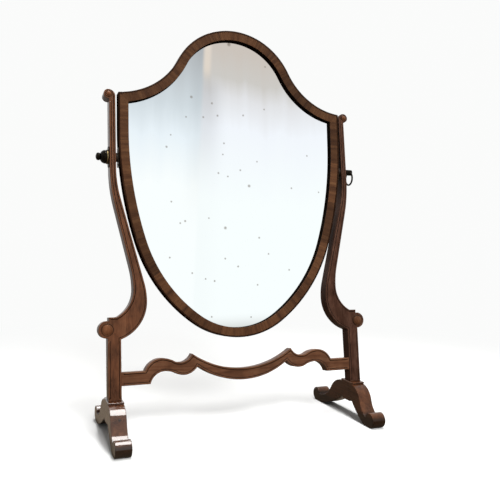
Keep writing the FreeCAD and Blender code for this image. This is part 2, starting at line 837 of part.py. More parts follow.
for side, sign in SIDES:
    front = -DEPTH / 2
    for label, centre, radius, rise in (
            ("roundel", LOWER_SCROLL, size("roundel_radius"), size("roundel_rise")),
            ("scroll_boss", TOP_SCROLL, size("boss_radius"), size("boss_rise"))):
        button = turned("%s_%s_turning" % (side, label), "V_Axis", button_path(radius, rise))
        node("%s_%s" % (side, label), button, RAKE.multiply(FreeCAD.Placement(
            at(sign, centre.x, front, centre.y), FreeCAD.Rotation())))


# Stretcher: level ends, a hump, a valley and a peak on each side of a long hollow

def rail_edge(level, inward):
    """Right half of an edge of the stretcher, from the post to the middle."""
    step = point(POST_IN - size("step_reach") - inward, level)
    hump = point(POST_IN - size("hump_reach") - inward / 2, level + size("hump_rise"))
    valley = point(POST_IN - size("valley_reach") - inward / 2, level + size("valley_rise"))
    peak = point(POST_IN - size("peak_reach") - inward, level + size("peak_rise"))
    between = (hump + valley) * 0.5
    path = line(point(POST_IN, level), step) + bowed(step, hump, -size("hump_bulge"))
    return path + bowed(hump, between, -size("hump_ease")) + arc(between, valley, peak)


def rail_path():
    upper = rail_edge(RAIL_TOP, 0.0)
    lower = rail_edge(RAIL_FOOT, size("undercut"))
    peak = end_of(upper)
    cusp = end_of(lower)
    path = upper + arc(peak, point(0, RAIL_TOP - size("upper_sag")), point(-peak.x, peak.y))
    path += backwards(mirrored(upper))
    path += line(end_of(path), point(-POST_IN, RAIL_FOOT)) + mirrored(lower)
    path += arc(point(-cusp.x, cusp.y), point(0, RAIL_FOOT - size("lower_sag")), cusp)
    path += backwards(lower)
    return path + line(end_of(path), start_of(path))


rail = slab("stretcher_board", "XZ_Plane", rail_path(), "sizes.rail_thick")
rail.setExpression("Placement.Base.y", "sizes.rail_thick / 2")
node("stretcher", joined("stretcher_whole", [rail] + [
    rail_tenon_box(side + "_rail_tenon", sign, 0.0) for side, sign in SIDES]), RAKE)


# Feet: a lipped land for the post, a knee, a hollow shin and a scroll toe each way, arched underneath

def half_foot_path(end):
    """Front or back half of the foot's outline, from the middle of the land round to that of the pendant."""
    land = point(LAND, FOOT_HEIGHT)
    lip = land - point(0, size("lip_height"))
    nook = lip - point(size("quirk_depth"), 0)
    quirk = point(nook.x, land.y - size("quirk_height"))
    knee = point(LAND + size(end + "_knee_reach"), quirk.y - size(end + "_knee_drop"))
    toe = point(knee.x + size(end + "_toe_reach"), size("toe_radius"))
    scroll = turn(toe, size("toe_radius"), 180 - size("notch_turn"), -90)
    heel = point(toe.x - size("pad_length"), 0)
    pendant = point(size("pendant_half"), PENDANT)
    spring = point(pendant.x + size("pendant_slope"), size("arch_height"))
    path = steps(point(0, land.y), land, lip, nook, quirk)
    path += bowed(quirk, knee, size("knee_bulge"))
    path += bowed(knee, start_of(scroll), -size(end + "_shin_sag")) + scroll
    path += line(end_of(scroll), heel) + bowed(heel, spring, size(end + "_arch_sag"))
    return path + steps(spring, pendant, point(0, pendant.y))


for side, sign in SIDES:
    outline = half_foot_path("back") + backwards(mirrored(half_foot_path("front")))
    beam = slab(side + "_foot_beam", "YZ_Plane", outline, "sizes.post_width + 2 * sizes.foot_margin")
    near = POST_IN - size("foot_margin")
    far = POST_OUT + size("foot_margin")
    beam.Placement.Base = box_corner(sign, near, far, POST_PLACE, 0)
    mortise = tenon_box(side + "_mortise", sign, GLUE)
    mortise.Placement = RAKE.multiply(mortise.Placement)
    node(side + "_foot", cut(side + "_foot_cut", beam, [mortise]))


# Escutcheons on the outer faces of the uprights, with round ends

def slot_path(length, width):
    radius = width / 2
    reach = length / 2 - radius
    top = turn(point(0, reach), radius, 0, 180)
    bottom = turn(point(0, -reach), radius, 180, 360)
    return top + line(end_of(top), start_of(bottom)) + bottom + line(end_of(bottom), start_of(top))


for side, sign in SIDES:
    plate = slab(side + "_escutcheon_blank", "YZ_Plane",
                 slot_path(size("escutcheon_length"), size("escutcheon_width")), "sizes.escutcheon_thick")
    plate.Placement.Base = box_corner(sign, SHAFT_OUT, FITTING_FACE, 0, PIVOT_HEIGHT)
    hole = rod(side + "_escutcheon_hole", at(sign, SHAFT_OUT - OVERCUT, 0, PIVOT_HEIGHT), facing(sign),
               "sizes.shank_dia" + HOLE, "sizes.escutcheon_thick + 2 * sizes.overcut")
    node(side + "_escutcheon", cut(side + "_escutcheon_cut", plate, [hole]), RAKE)

# Left fitting: a plain shank and a turned knob on its end

SCREW_START = BOSS_END + size("shank_short")
RIGHT_AXIS = FreeCAD.Placement(PIVOT, FreeCAD.Rotation())
LEFT_AXIS = FreeCAD.Placement(PIVOT, FreeCAD.Rotation(FreeCAD.Vector(0, 0, 1), 180))
node("left_pivot_screw",
     rod("left_shank", FreeCAD.Vector(SCREW_START, 0, 0), "x", "sizes.shank_dia",
         "%.6f + sizes.knob_socket" % (HEAD_START - SCREW_START)), LEFT_AXIS)


def knob_path():
    """Half section: socket, beaded flange, bell, neck and a button with a domed cap."""
    face = HEAD_START
    socket = (size("shank_dia") + size("running_clear")) / 2
    depth = face + size("knob_socket") + CLEAR
    edge = size("knob_flange") - size("knob_bead")
    rim = point(face + size("knob_rim"), edge)
    neck = rim + point(size("knob_taper"), size("knob_neck") - edge)
    brow = neck + point(size("knob_button"), 0)
    tip = point(brow.x + size("knob_cap"), 0)
    path = steps(point(depth, 0), point(depth, socket), point(face, socket), point(face, edge))
    path += bowed(end_of(path), rim, size("knob_bead")) + bowed(rim, neck, size("knob_bulge"))
    path += bowed(neck, brow, size("knob_swell")) + dome(brow, point(brow.x, 0), tip)
    return path + line(tip, start_of(path))


node("left_knob", turned("left_knob_turning", "H_Axis", knob_path()), LEFT_AXIS)


# Right fitting: the shank runs into a ribbed stem with an eye, and a ring hangs in the eye

RIB = HEAD_START + size("stem_flange_thick") + size("stem_neck_length")
DRUM = RIB + size("stem_rib") + size("stem_groove")
EYE = DRUM + size("eye_length") / 2
SAG = size("ring_radius") - math.sqrt(size("ring_radius") ** 2 - size("eye_radius") ** 2)


def stem_path():
    """Half section: shank, flange, neck, rib, groove, drum for the eye and a domed tip."""
    shank = size("shank_dia") / 2
    flange = size("stem_flange")
    flange_end = HEAD_START + size("stem_flange_thick")
    neck = size("stem_neck")
    drum = size("eye_radius")
    rib_end = RIB + size("stem_rib")
    drum_end = DRUM + size("eye_length")
    path = steps(
        point(SCREW_START, 0), point(SCREW_START, shank), point(HEAD_START, shank), point(HEAD_START, flange),
        point(flange_end, flange), point(flange_end, neck), point(RIB, neck), point(RIB, drum),
        point(rib_end, drum), point(rib_end, neck), point(DRUM, neck), point(DRUM, drum),
        point(drum_end, drum), point(drum_end, neck))
    path += dome(end_of(path), point(drum_end, 0), point(drum_end + size("stem_tip"), 0))
    return path + line(end_of(path), start_of(path))


stem = turned("right_stem_turning", "H_Axis", stem_path())
eye_hole = rod("right_eye_hole", FreeCAD.Vector(EYE, -size("eye_radius") - OVERCUT, 0), "y",
               "2 * sizes.ring_wire + %.6f + 2 * sizes.eye_clear" % SAG,
               "2 * sizes.eye_radius + 2 * sizes.overcut")
node("right_pivot_screw", cut("right_stem_cut", stem, [eye_hole]), RIGHT_AXIS)

ring = doc.addObject("Part::Torus", "right_ring_wire")
ring.setExpression("Radius1", "sizes.ring_radius")
ring.setExpression("Radius2", "sizes.ring_wire")
ring.Placement.Rotation = TURN_TO["x"]
node("right_ring", ring, FreeCAD.Placement(
    PIVOT + FreeCAD.Vector(EYE, 0, SAG / 2 - size("ring_radius")), FreeCAD.Rotation()))

# Every node must be a sound solid before it is written

doc.recompute()
for thing in doc.Objects:
    if "Invalid" in thing.State or "Error" in thing.State:
        raise RuntimeError("not built: " + thing.Label)
os.makedirs("parts", exist_ok=True)
for solid in NODES:
    if solid.Shape.isNull() or not solid.Shape.isValid() or not solid.Shape.Solids:
        raise RuntimeError("unsound: " + solid.Label)
    solid.Shape.exportStep("parts/%s.step" % solid.Label)
    print(solid.Label, len(solid.Shape.Solids), round(solid.Shape.Volume, 1))
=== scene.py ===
"""Looks of the dressing table mirror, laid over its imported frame.

Metres throughout. X runs to the right, Y to the back and Z up, as in the frame.
"""
import math
import bmesh
import bpy
from mathutils import Matrix, Vector


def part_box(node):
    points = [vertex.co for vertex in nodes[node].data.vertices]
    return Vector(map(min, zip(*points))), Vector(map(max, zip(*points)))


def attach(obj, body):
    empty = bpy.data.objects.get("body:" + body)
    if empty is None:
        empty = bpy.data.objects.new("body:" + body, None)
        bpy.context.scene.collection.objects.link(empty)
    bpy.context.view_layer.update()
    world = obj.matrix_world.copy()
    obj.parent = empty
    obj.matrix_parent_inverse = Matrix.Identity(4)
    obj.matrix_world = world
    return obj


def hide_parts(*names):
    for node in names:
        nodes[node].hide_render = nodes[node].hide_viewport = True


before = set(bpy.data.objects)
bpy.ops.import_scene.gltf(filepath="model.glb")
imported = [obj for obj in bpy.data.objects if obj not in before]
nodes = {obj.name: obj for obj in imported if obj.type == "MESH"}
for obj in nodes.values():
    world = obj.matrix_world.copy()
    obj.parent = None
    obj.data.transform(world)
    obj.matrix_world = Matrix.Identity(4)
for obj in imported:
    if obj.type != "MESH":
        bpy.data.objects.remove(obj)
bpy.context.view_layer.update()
scene = bpy.context.scene
MM = 0.001

# The shield turns about its pivots, and at rest its top leans back.
PIVOT = Vector((0, 0.0306165, 0.3605729))
LEAN = math.radians(6.0)
UPRIGHT_SHIELD = Matrix.Rotation(LEAN, 4, "X") @ Matrix.Translation(-PIVOT)
LEANING_SHIELD = UPRIGHT_SHIELD.inverted()

# The uprights and the stretcher rake back from the lands of the feet.
LAND = Vector((0, -0.0155, 0.052))
RAKE = math.radians(8.5)
PLUMB_STAND = Matrix.Translation(LAND) @ Matrix.Rotation(RAKE, 4, "X") @ Matrix.Translation(-LAND)
RAKED_STAND = PLUMB_STAND.inverted()


# Shaders

class Nodes:
    """A node tree, built step by step."""

    def __init__(self, tree):
        self.tree = tree
        tree.nodes.clear()

    def add(self, kind, **settings):
        node = self.tree.nodes.new(kind)
        for key, value in settings.items():
            setattr(node, key, value)
        return node

    def put(self, socket, value):
        """Links an output to a socket, or sets a plain value on it."""
        if isinstance(value, bpy.types.NodeSocket):
            self.tree.links.new(value, socket)
        else:
            socket.default_value = value

    def place(self, kind="Object"):
        return self.add("ShaderNodeTexCoord").outputs[kind]

    def scaled(self, vector, scale, shift=(0, 0, 0), turn=(0, 0, 0)):
        node = self.add("ShaderNodeMapping")
        self.put(node.inputs["Vector"], vector)
        node.inputs["Location"].default_value = shift
        node.inputs["Rotation"].default_value = turn
        node.inputs["Scale"].default_value = scale
        return node.outputs["Vector"]

    def noise(self, vector, scale, detail=3.0, roughness=0.55, distortion=0.0):
        node = self.add("ShaderNodeTexNoise")
        self.put(node.inputs["Vector"], vector)
        node.inputs["Scale"].default_value = scale
        node.inputs["Detail"].default_value = detail
        node.inputs["Roughness"].default_value = roughness
        node.inputs["Distortion"].default_value = distortion
        return node.outputs["Fac"]

    def math(self, operation, first, second=0.0):
        node = self.add("ShaderNodeMath", operation=operation)
        self.put(node.inputs[0], first)
        self.put(node.inputs[1], second)
        return node.outputs[0]

    def plus(self, first, second):
        return self.math("ADD", first, second)

    def less(self, first, second):
        return self.math("SUBTRACT", first, second)

    def times(self, first, second):
        return self.math("MULTIPLY", first, second)

    def span(self, value, low, high, to_low=0.0, to_high=1.0):
        """The value carried from one range to another and held inside it."""
        node = self.add("ShaderNodeMapRange", interpolation_type="SMOOTHSTEP")
        self.put(node.inputs["Value"], value)
        node.inputs["From Min"].default_value = low
        node.inputs["From Max"].default_value = high
        node.inputs["To Min"].default_value = to_low
        node.inputs["To Max"].default_value = to_high
        return node.outputs["Result"]

    def ramp(self, value, *stops):
        node = self.add("ShaderNodeValToRGB")
        marks = node.color_ramp.elements
        while len(marks) < len(stops):
            marks.new(0.5)
        for mark, (position, colour) in zip(marks, stops):
            mark.position = position
            mark.color = (*colour, 1)
        self.put(node.inputs["Fac"], value)
        return node.outputs["Color"]

    def mix(self, share, first, second, blend="MIX"):
        node = self.add("ShaderNodeMix", data_type="RGBA", blend_type=blend)
        self.put(node.inputs[0], share)
        for socket, colour in ((node.inputs[6], first), (node.inputs[7], second)):
            self.put(socket, (*colour, 1) if isinstance(colour, tuple) else colour)
        return node.outputs[2]

    def shade(self, colour, tone):
        """A colour made darker or lighter by a tone."""
        grey = self.add("ShaderNodeCombineColor")
        for socket in grey.inputs:
            self.put(socket, tone)
        return self.mix(1.0, colour, grey.outputs["Color"], "MULTIPLY")

    def distance(self, vector, point):
        node = self.add("ShaderNodeVectorMath", operation="DISTANCE")
        self.put(node.inputs[0], vector)
        node.inputs[1].default_value = point
        return node.outputs["Value"]

    def part(self, vector, axis):
        node = self.add("ShaderNodeSeparateXYZ")
        self.put(node.inputs[0], vector)
        return node.outputs[axis]

    def corners(self, reach, inside=False):
        """How near a point is to a hollow corner, or to a proud edge from inside."""
        node = self.add("ShaderNodeAmbientOcclusion", samples=8, inside=inside, only_local=inside)
        node.inputs["Distance"].default_value = reach
        return self.less(1.0, node.outputs["AO"])


class Shader(Nodes):
    """A material's nodes round one Principled surface."""

    def __init__(self, name):
        self.material = bpy.data.materials.new(name)
        self.material.use_nodes = True
        super().__init__(self.material.node_tree)
        self.surface = self.add("ShaderNodeBsdfPrincipled")
        self.output = self.add("ShaderNodeOutputMaterial")
        self.put(self.output.inputs["Surface"], self.surface.outputs["BSDF"])

    def relief(self, height, depth, strength):
        node = self.add("ShaderNodeBump")
        node.inputs["Strength"].default_value = strength
        node.inputs["Distance"].default_value = depth
        self.put(node.inputs["Height"], height)
        self.put(self.surface.inputs["Normal"], node.outputs["Normal"])

    def finish(self, colour, roughness, **constants):
        self.put(self.surface.inputs["Base Color"], colour)
        self.put(self.surface.inputs["Roughness"], roughness)
        for socket, value in constants.items():
            self.surface.inputs[socket.replace("_", " ")].default_value = value
        return self.material


# Materials. Each wood has a dark, a middle and a light tone.

# Near black: real dirt, dark joints and the plug, and also painted shade in corners and quirks.
GRIME_AND_SHADE = (0.010, 0.005, 0.003)
MAHOGANY = ((0.036, 0.0115, 0.0055), (0.092, 0.034, 0.0165), (0.150, 0.064, 0.033))
FOOT_TONES = ((0.030, 0.0090, 0.0036), (0.080, 0.027, 0.0108), (0.137, 0.053, 0.022))
LIPPING = ((0.010, 0.0045, 0.003), (0.024, 0.011, 0.0065), (0.050, 0.024, 0.013))
TURNED = ((0.075, 0.026, 0.011), (0.150, 0.058, 0.026), (0.235, 0.105, 0.050))
BAND = ((0.030, 0.012, 0.006), (0.084, 0.036, 0.016), (0.145, 0.070, 0.032))
EBONISED = ((0.004, 0.003, 0.0025), (0.008, 0.006, 0.005), (0.016, 0.011, 0.008))
PINE = ((0.085, 0.046, 0.022), (0.165, 0.098, 0.050), (0.255, 0.165, 0.090))
WARM_GLOSS = (1, 0.8, 0.62, 1)


def tinted(tones, *tint):
    """The tones of another board of the same wood."""
    return tuple(tuple(level * share for level, share in zip(tone, tint)) for tone in tones)


def along(axis, squeeze):
    """Millimetre scales that draw a pattern out along one axis."""
    scale = [1 / MM] * 3
    scale["XYZ".index(axis)] *= squeeze
    return scale


def wood(name, grain, tones, polish, shift=(0, 0, 0), gloss=0.12, marks=(), glow=None, varnish=0.0, bottom_shade=0.0):
    """Solid wood with its fibres along one axis, darkened in its corners by painted shade and lighter on its
    edges from worn polish and a painted highlight.

    Marks are dark worn spots, each a centre and a reach. Glow is the centre and reach of a disc painted
    lighter in its middle and darker to its rim, with a groove of painted shade round it. Below the height
    given for the bottom shade the wood is painted darker towards the floor: painted shade.
    """
    sh = Shader(name)
    spot = sh.place()
    fibre = sh.scaled(spot, along(grain, 0.055), shift)
    figure = sh.noise(fibre, 0.13, 4, 0.6, 0.7)
    streaks = sh.noise(fibre, 0.8, 5, 0.65)
    pores = sh.span(sh.noise(fibre, 3.2, 2, 0.5), 0.58, 0.74)
    dark, middle, light = tones
    body = sh.plus(sh.times(figure, 0.62), sh.times(streaks, 0.38))
    colour = sh.ramp(body, (0.32, dark), (0.50, middle), (0.70, light))
    colour = sh.mix(sh.times(pores, 0.45), colour, dark)
    patches = sh.noise(sh.scaled(spot, (38, 38, 38), shift), 1.0, 3, 0.6)
    colour = sh.shade(colour, sh.span(patches, 0.3, 0.7, 0.72, 1.2))
    # Painted light and shade on a turned disc: a lighter middle, a darker rim and a shaded groove.
    if glow:
        centre, reach = glow
        away = sh.math("DIVIDE", sh.distance(spot, centre), reach)
        from_groove = sh.math("ABSOLUTE", sh.less(away, 0.98))
        disc = sh.span(away, 0.4, 1.0, 1.1, 0.75)
        groove = sh.span(from_groove, 0.03, 0.12, 0.2, 1)
        colour = sh.shade(colour, sh.times(disc, groove))
    # Edges lighter: worn polish, and a painted highlight along the arrises.
    colour = sh.mix(sh.times(sh.corners(0.8 * MM, True), 0.35), colour, light)
    # Painted shade: hollow corners darkened.
    colour = sh.mix(sh.span(sh.corners(7 * MM), 0.15, 0.75, 0, 0.8), colour, GRIME_AND_SHADE)
    # Painted shade: the wood darker towards the floor.
    if bottom_shade:
        colour = sh.shade(colour, sh.span(sh.part(spot, "Z"), 0.7 * bottom_shade, bottom_shade, 0.25, 1))
    for centre, reach in marks:
        ragged = sh.times(sh.noise(spot, 900, 2), 0.6 * reach)
        worn = sh.span(sh.plus(sh.distance(spot, centre), ragged), 0.5 * reach, 1.2 * reach, 0.95, 0)
        colour = sh.mix(worn, colour, GRIME_AND_SHADE)
    rubbed = sh.plus(sh.times(streaks, 0.16), sh.times(patches, 0.16))
    sh.relief(sh.less(streaks, pores), 0.03 * MM, 0.25)
    roughness = sh.plus(rubbed, polish - 0.16)
    return sh.finish(
        colour, roughness, Specular_IOR_Level=gloss, Specular_Tint=WARM_GLOSS,
        Coat_Weight=varnish, Coat_Roughness=0.05, Coat_IOR=1.5,
    )


LEAF_LENGTH = 62 * MM


def crossbanding(name, shift, lightness):
    """Veneer laid across the frame in short lengths, each cut from its own leaf."""
    sh = Shader(name)
    spot = sh.place("UV")
    run = sh.part(spot, "X")
    lengths = sh.plus(sh.math("DIVIDE", run, LEAF_LENGTH), shift)
    leaf = sh.add("ShaderNodeTexWhiteNoise", noise_dimensions="1D")
    sh.put(leaf.inputs["W"], sh.math("FLOOR", lengths))
    fibre = sh.scaled(spot, (1 / MM, 0.07 / MM, 1), (shift * 37, 0, 0))
    figure = sh.noise(fibre, 0.11, 4, 0.62, 0.5)
    streaks = sh.noise(fibre, 0.75, 5, 0.7)
    pores = sh.span(sh.noise(fibre, 3.0, 2), 0.58, 0.74)
    dark, middle, light = BAND
    body = sh.plus(sh.times(figure, 0.6), sh.times(streaks, 0.4))
    colour = sh.ramp(body, (0.33, dark), (0.50, middle), (0.68, light))
    colour = sh.mix(sh.times(pores, 0.4), colour, dark)
    colour = sh.shade(colour, sh.span(leaf.outputs["Value"], 0, 1, 0.65 * lightness, 1.15 * lightness))
    seam = sh.math("ABSOLUTE", sh.less(sh.math("FRACT", lengths), 0.5))
    colour = sh.mix(sh.span(seam, 0.493, 0.498, 0, 0.7), colour, GRIME_AND_SHADE)
    # Painted shade: the band darkened in the corners along its edges.
    colour = sh.mix(sh.span(sh.corners(3 * MM), 0.25, 0.8, 0, 0.7), colour, GRIME_AND_SHADE)
    sh.relief(sh.less(streaks, pores), 0.04 * MM, 0.3)
    roughness = sh.span(streaks, 0.25, 0.75, 0.30, 0.46)
    return sh.finish(colour, roughness, Specular_IOR_Level=0.12)


def painted_quirk_shade(name):
    """The bottom of a quirk, painted near black: painted shade in the groove."""
    sh = Shader(name)
    fill = sh.noise(sh.place(), 700, 3)
    colour = sh.ramp(fill, (0.3, (0.004, 0.0025, 0.002)), (0.7, GRIME_AND_SHADE))
    return sh.finish(colour, sh.span(fill, 0.3, 0.7, 0.5, 0.7), Specular_IOR_Level=0.05)


# Foxing of the silver: across from the pivots' middle, up from their level, and reach, in mm.
FOXING = (
    (-7, 175, 3.4), (-64, 92, 2.4), (-34, 86, 2.0), (-47, 65, 1.8), (-26, 69, 1.9),
    (-72, 63, 1.6), (13, 73, 1.8), (46, 85, 1.6), (49, 149, 1.6), (75, 127, 2.0),
    (140, 76, 1.5), (-100, 19, 1.9), (-94, 36, 1.5), (-17, 30, 1.7), (-19, 14, 1.5),
    (7, -7, 1.7), (20, -29, 2.6), (-26, -13, 1.8), (-12, -17, 1.6), (-94, -56, 1.5),
    (-75, -82, 1.9), (-82, -85, 1.6), (-41, -77, 1.5), (-17, -90, 2.6), (34, -103, 1.8),
    (48, -126, 1.6), (-97, -132, 1.6), (-18, -133, 1.6), (1, -144, 1.8), (-66, -153, 1.6),
    (-47, -161, 1.5), (-34, -164, 1.7), (30, -170, 1.6), (80, -149, 1.6), (-39, -213, 1.5),
    (19, -215, 1.5), (114, 21, 1.7), (87, -29, 1.7), (132, -33, 1.5), (33, 7, 1.5),
)


def silvered_glass():
    """Old mirror glass: bright silver with foxing, and a painted reflection of a room that greys towards the
    crest beside a soft vertical edge.
    """
    sh = Shader("silvered_glass")
    flat = sh.scaled(sh.place(), (1, 1, 1), UPRIGHT_SHIELD.translation, (LEAN, 0, 0))
    rise = sh.part(flat, "Z")
    wisps = sh.noise(sh.scaled(flat, (34, 34, 4.0)), 1.0, 3, 0.5, 0.3)
    # Painted reflection: the silver greys towards the crest.
    reflection_height = sh.plus(rise, sh.times(sh.less(wisps, 0.5), 0.05))
    height = sh.math("DIVIDE", sh.plus(reflection_height, 0.06), 0.23)
    cool = sh.ramp(
        height,
        (0.12, (0.95, 1.0, 1.0)),
        (0.42, (0.82, 0.90, 0.95)),
        (0.62, (0.64, 0.71, 0.75)),
        (0.95, (0.47, 0.50, 0.52)),
    )
    warm = sh.ramp(
        height,
        (0.02, (0.94, 1.0, 1.0)),
        (0.48, (0.89, 0.93, 0.98)),
        (0.68, (0.76, 0.77, 0.79)),
        (0.80, (0.61, 0.595, 0.565)),
        (0.98, (0.60, 0.55, 0.50)),
    )
    # A painted reflection of a curtain edge: one tone to the left of it, another to the right.
    reflected_edge = sh.less(sh.part(flat, "X"), sh.times(rise, 0.06))
    side = sh.span(reflected_edge, -57 * MM, -50 * MM)
    colour = sh.mix(side, cool, warm)
    # Painted shade on both sides of the reflected edge.
    falling = sh.span(reflected_edge, -56 * MM, -50 * MM, 1, 0)
    shadow = sh.times(sh.span(reflected_edge, -80 * MM, -57 * MM), falling)
    strength = sh.span(rise, -0.10, 0.05, 0, 0.09)
    colour = sh.shade(colour, sh.less(1.0, sh.times(shadow, strength)))
    painted_edge_shade = sh.times(side, sh.span(reflected_edge, -48 * MM, -12 * MM, 1, 0))
    depth = sh.times(sh.span(rise, -0.05, 0.09, 0.02, 0.2), sh.span(rise, 0.10, 0.135, 1, 0))
    colour = sh.shade(colour, sh.less(1.0, sh.times(painted_edge_shade, depth)))
    # A painted reflection: a warm streak along the edge.
    streak = sh.times(side, sh.span(reflected_edge, -47 * MM, -40 * MM, 1, 0))
    streak = sh.times(streak, sh.span(rise, 0.115, 0.14))
    colour = sh.mix(streak, colour, (0.74, 0.67, 0.59))
    ragged = sh.times(sh.less(sh.noise(flat, 1100, 2), 0.5), 1.3 * MM)
    fox = 0.0
    for x, up, reach in FOXING:
        gap = sh.plus(sh.distance(flat, (x * MM, -2 * MM, up * MM)), ragged)
        fox = sh.math("MAXIMUM", fox, sh.span(gap, 0.35 * reach * MM, 1.15 * reach * MM, 0.62, 0))
    colour = sh.mix(fox, colour, (0.22, 0.185, 0.15))
    roughness = sh.span(fox, 0, 1, 0.015, 0.4)
    return sh.finish(colour, roughness, Metallic=1.0)


def dark_brass(name, wear, metal, rim=None):
    """Brass gone nearly black and rubbed bright on its edges.

    If a rim is given, the brass beyond that place in x is rubbed too.
    """
    sh = Shader(name)
    spot = sh.place()
    stains = sh.noise(spot, 420, 4, 0.6)
    colour = sh.ramp(
        stains,
        (0.35, (0.007, 0.006, 0.005)),
        (0.60, (0.016, 0.013, 0.009)),
        (0.80, (0.050, 0.038, 0.020)),
    )
    rubbed = (0.34, 0.25, 0.12)
    edges = sh.span(sh.corners(0.7 * MM, True), 0.3, 0.75, 0, wear)
    colour = sh.mix(edges, colour, rubbed)
    if rim:
        colour = sh.mix(sh.span(sh.part(spot, "X"), rim, rim + 0.5 * MM, 0, 0.75), colour, rubbed)
    sh.relief(sh.noise(spot, 1600, 3), 0.05 * MM, 0.5)
    roughness = sh.span(stains, 0.3, 0.7, 0.22, 0.46)
    return sh.finish(colour, roughness, Metallic=metal, Specular_IOR_Level=0.02)


def screw_steel():
    """Plain screws, browned by rust."""
    sh = Shader("screw_steel")
    spot = sh.place()
    rust = sh.noise(spot, 500, 4, 0.65)
    colour = sh.ramp(
        rust,
        (0.35, (0.20, 0.19, 0.18)),
        (0.55, (0.12, 0.10, 0.085)),
        (0.75, (0.085, 0.040, 0.020)),
    )
    sh.relief(rust, 0.06 * MM, 0.5)
    return sh.finish(colour, sh.span(rust, 0.3, 0.7, 0.35, 0.7), Metallic=0.9)


def washer_leather():
    """Dark leather with a fine pebbled face."""
    sh = Shader("washer_leather")
    spot = sh.place()
    pebble = sh.add("ShaderNodeTexVoronoi", feature="DISTANCE_TO_EDGE")
    sh.put(pebble.inputs["Vector"], spot)
    pebble.inputs["Scale"].default_value = 1300
    colour = sh.ramp(sh.noise(spot, 300, 4), (0.35, (0.008, 0.006, 0.005)), (0.7, (0.024, 0.015, 0.010)))
    sh.relief(pebble.outputs["Distance"], 0.10 * MM, 0.6)
    return sh.finish(colour, sh.span(pebble.outputs["Distance"], 0, 0.4, 0.75, 0.55), Specular_IOR_Level=0.3)


def dress(material, *names):
    for name in names:
        mesh_slots = nodes[name].data.materials
        mesh_slots.clear()
        mesh_slots.append(material)


def soften(width, *names):
    """Takes the sharpness off the arrises of CAD pieces."""
    for name in names:
        piece = nodes[name]
        weld = piece.modifiers.new("weld", "WELD")
        weld.merge_threshold = 0.002 * MM
        bevel = piece.modifiers.new("arris", "BEVEL")
        bevel.width = width
        bevel.segments = 3
        bevel.limit_method = "ANGLE"
        bevel.angle_limit = math.radians(40)
        bevel.use_clamp_overlap = False
        bevel.harden_normals = False
        normals = piece.modifiers.new("normals", "WEIGHTED_NORMAL")
        normals.keep_sharp = False
        normals.weight = 60


# Outlines of flat faces

def flat_outline(name, into):
    """Points in order round the foremost flat face of a node, in x and z, and that face's y."""
    mesh = nodes[name].data
    spots = [into @ vertex.co for vertex in mesh.vertices]
    front = min(spot.y for spot in spots)
    keys = [(round(spot.x, 6), round(spot.z, 6)) for spot in spots]
    edges = set()
    for face in mesh.polygons:
        ring = list(face.vertices)
        if all(spots[i].y < front + 0.01 * MM for i in ring):
            edges.update((keys[a], keys[b]) for a, b in zip(ring, ring[1:] + ring[:1]))
    following = {a: b for a, b in edges if (b, a) not in edges}
    loop = [min(following)]
    while following[loop[-1]] != loop[0]:
        loop.append(following[loop[-1]])
    return [Vector(point) for point in loop], front


def turned_by(before, here, after):
    """The angle by which a path turns at a point."""
    return abs((here - before).angle_signed(after - here, 0))


def lengthways(run):
    """How far along a run each of its points lies."""
    reached = [0.0]
    for first, second in zip(run, run[1:]):
        reached.append(reached[-1] + (second - first).length)
    return reached


def station(run, share):
    """The point at a share of a run's length."""
    reached = lengthways(run)
    target = share * reached[-1]
    for i, (low, high) in enumerate(zip(reached, reached[1:])):
        if target <= high:
            return run[i].lerp(run[i + 1], (target - low) / max(high - low, 1e-9))
    return run[-1]


def nearest_along(run, point):
    """How far along a run its nearest place to a point lies."""
    places = []
    for start, first, second in zip(lengthways(run), run, run[1:]):
        step = second - first
        share = min(max((point - first).dot(step) / max(step.length_squared, 1e-12), 0), 1)
        places.append(((first + step * share - point).length, start + step.length * share))
    return min(places)[1]


def refined(loop, step):
    """A closed loop with points put in so that none is further than a step from the next."""
    points = []
    for first, second in zip(loop, loop[1:] + loop[:1]):
        count = max(1, math.ceil((second - first).length / step))
        points += [first.lerp(second, i / count) for i in range(count)]
    return points


def inward(loop):
    """The direction into the face at each point of a closed loop, long enough to keep an even margin."""
    area = sum(a.cross(b) for a, b in zip(loop, loop[1:] + loop[:1]))
    side = 1 if area > 0 else -1
    arrows = []
    for before, here, after in zip(loop[-1:] + loop[:-1], loop, loop[1:] + loop[:1]):
        first = (here - before).normalized().orthogonal() * side
        second = (after - here).normalized().orthogonal() * side
        arrows.append((first + second) / max(1 + first.dot(second), 0.4))
    return arrows


def mesh_piece(name, bm, body, slot, *materials):
    mesh = bpy.data.meshes.new(name)
    bm.normal_update()
    bm.to_mesh(mesh)
    bm.free()
    for material in materials:
        mesh.materials.append(material)
    piece = bpy.data.objects.new(name, mesh)
    scene.collection.objects.link(piece)
    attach(piece, body)
    return piece


def swept(bm, rings, dark_sides=()):
    """Joins rings of points, each the same profile further along, into a closed moulding."""
    rows = [[bm.verts.new(point) for point in ring] for ring in rings]
    count = len(rows[0])
    for first, second in zip(rows, rows[1:]):
        for i in range(count):
            j = (i + 1) % count
            face = bm.faces.new((first[i], first[j], second[j], second[i]))
            face.smooth = True
            face.material_index = 1 if i in dark_sides else 0
    bm.faces.new(rows[0])
    bm.faces.new(reversed(rows[-1]))


# Scratch beads: a small round along each arris with a quirk inside it, painted dark as painted shade.
# Each pair is the distance in from the arris and the height above the face, in mm.
BEAD = (
    (0.5, -0.3), (0.55, 0.12), (0.85, 0.3), (1.35, 0.34),
    (1.85, 0.22), (2.1, 0.03), (3.0, 0.03), (3.05, -0.3),
)
QUIRK_SIDES = (5,)


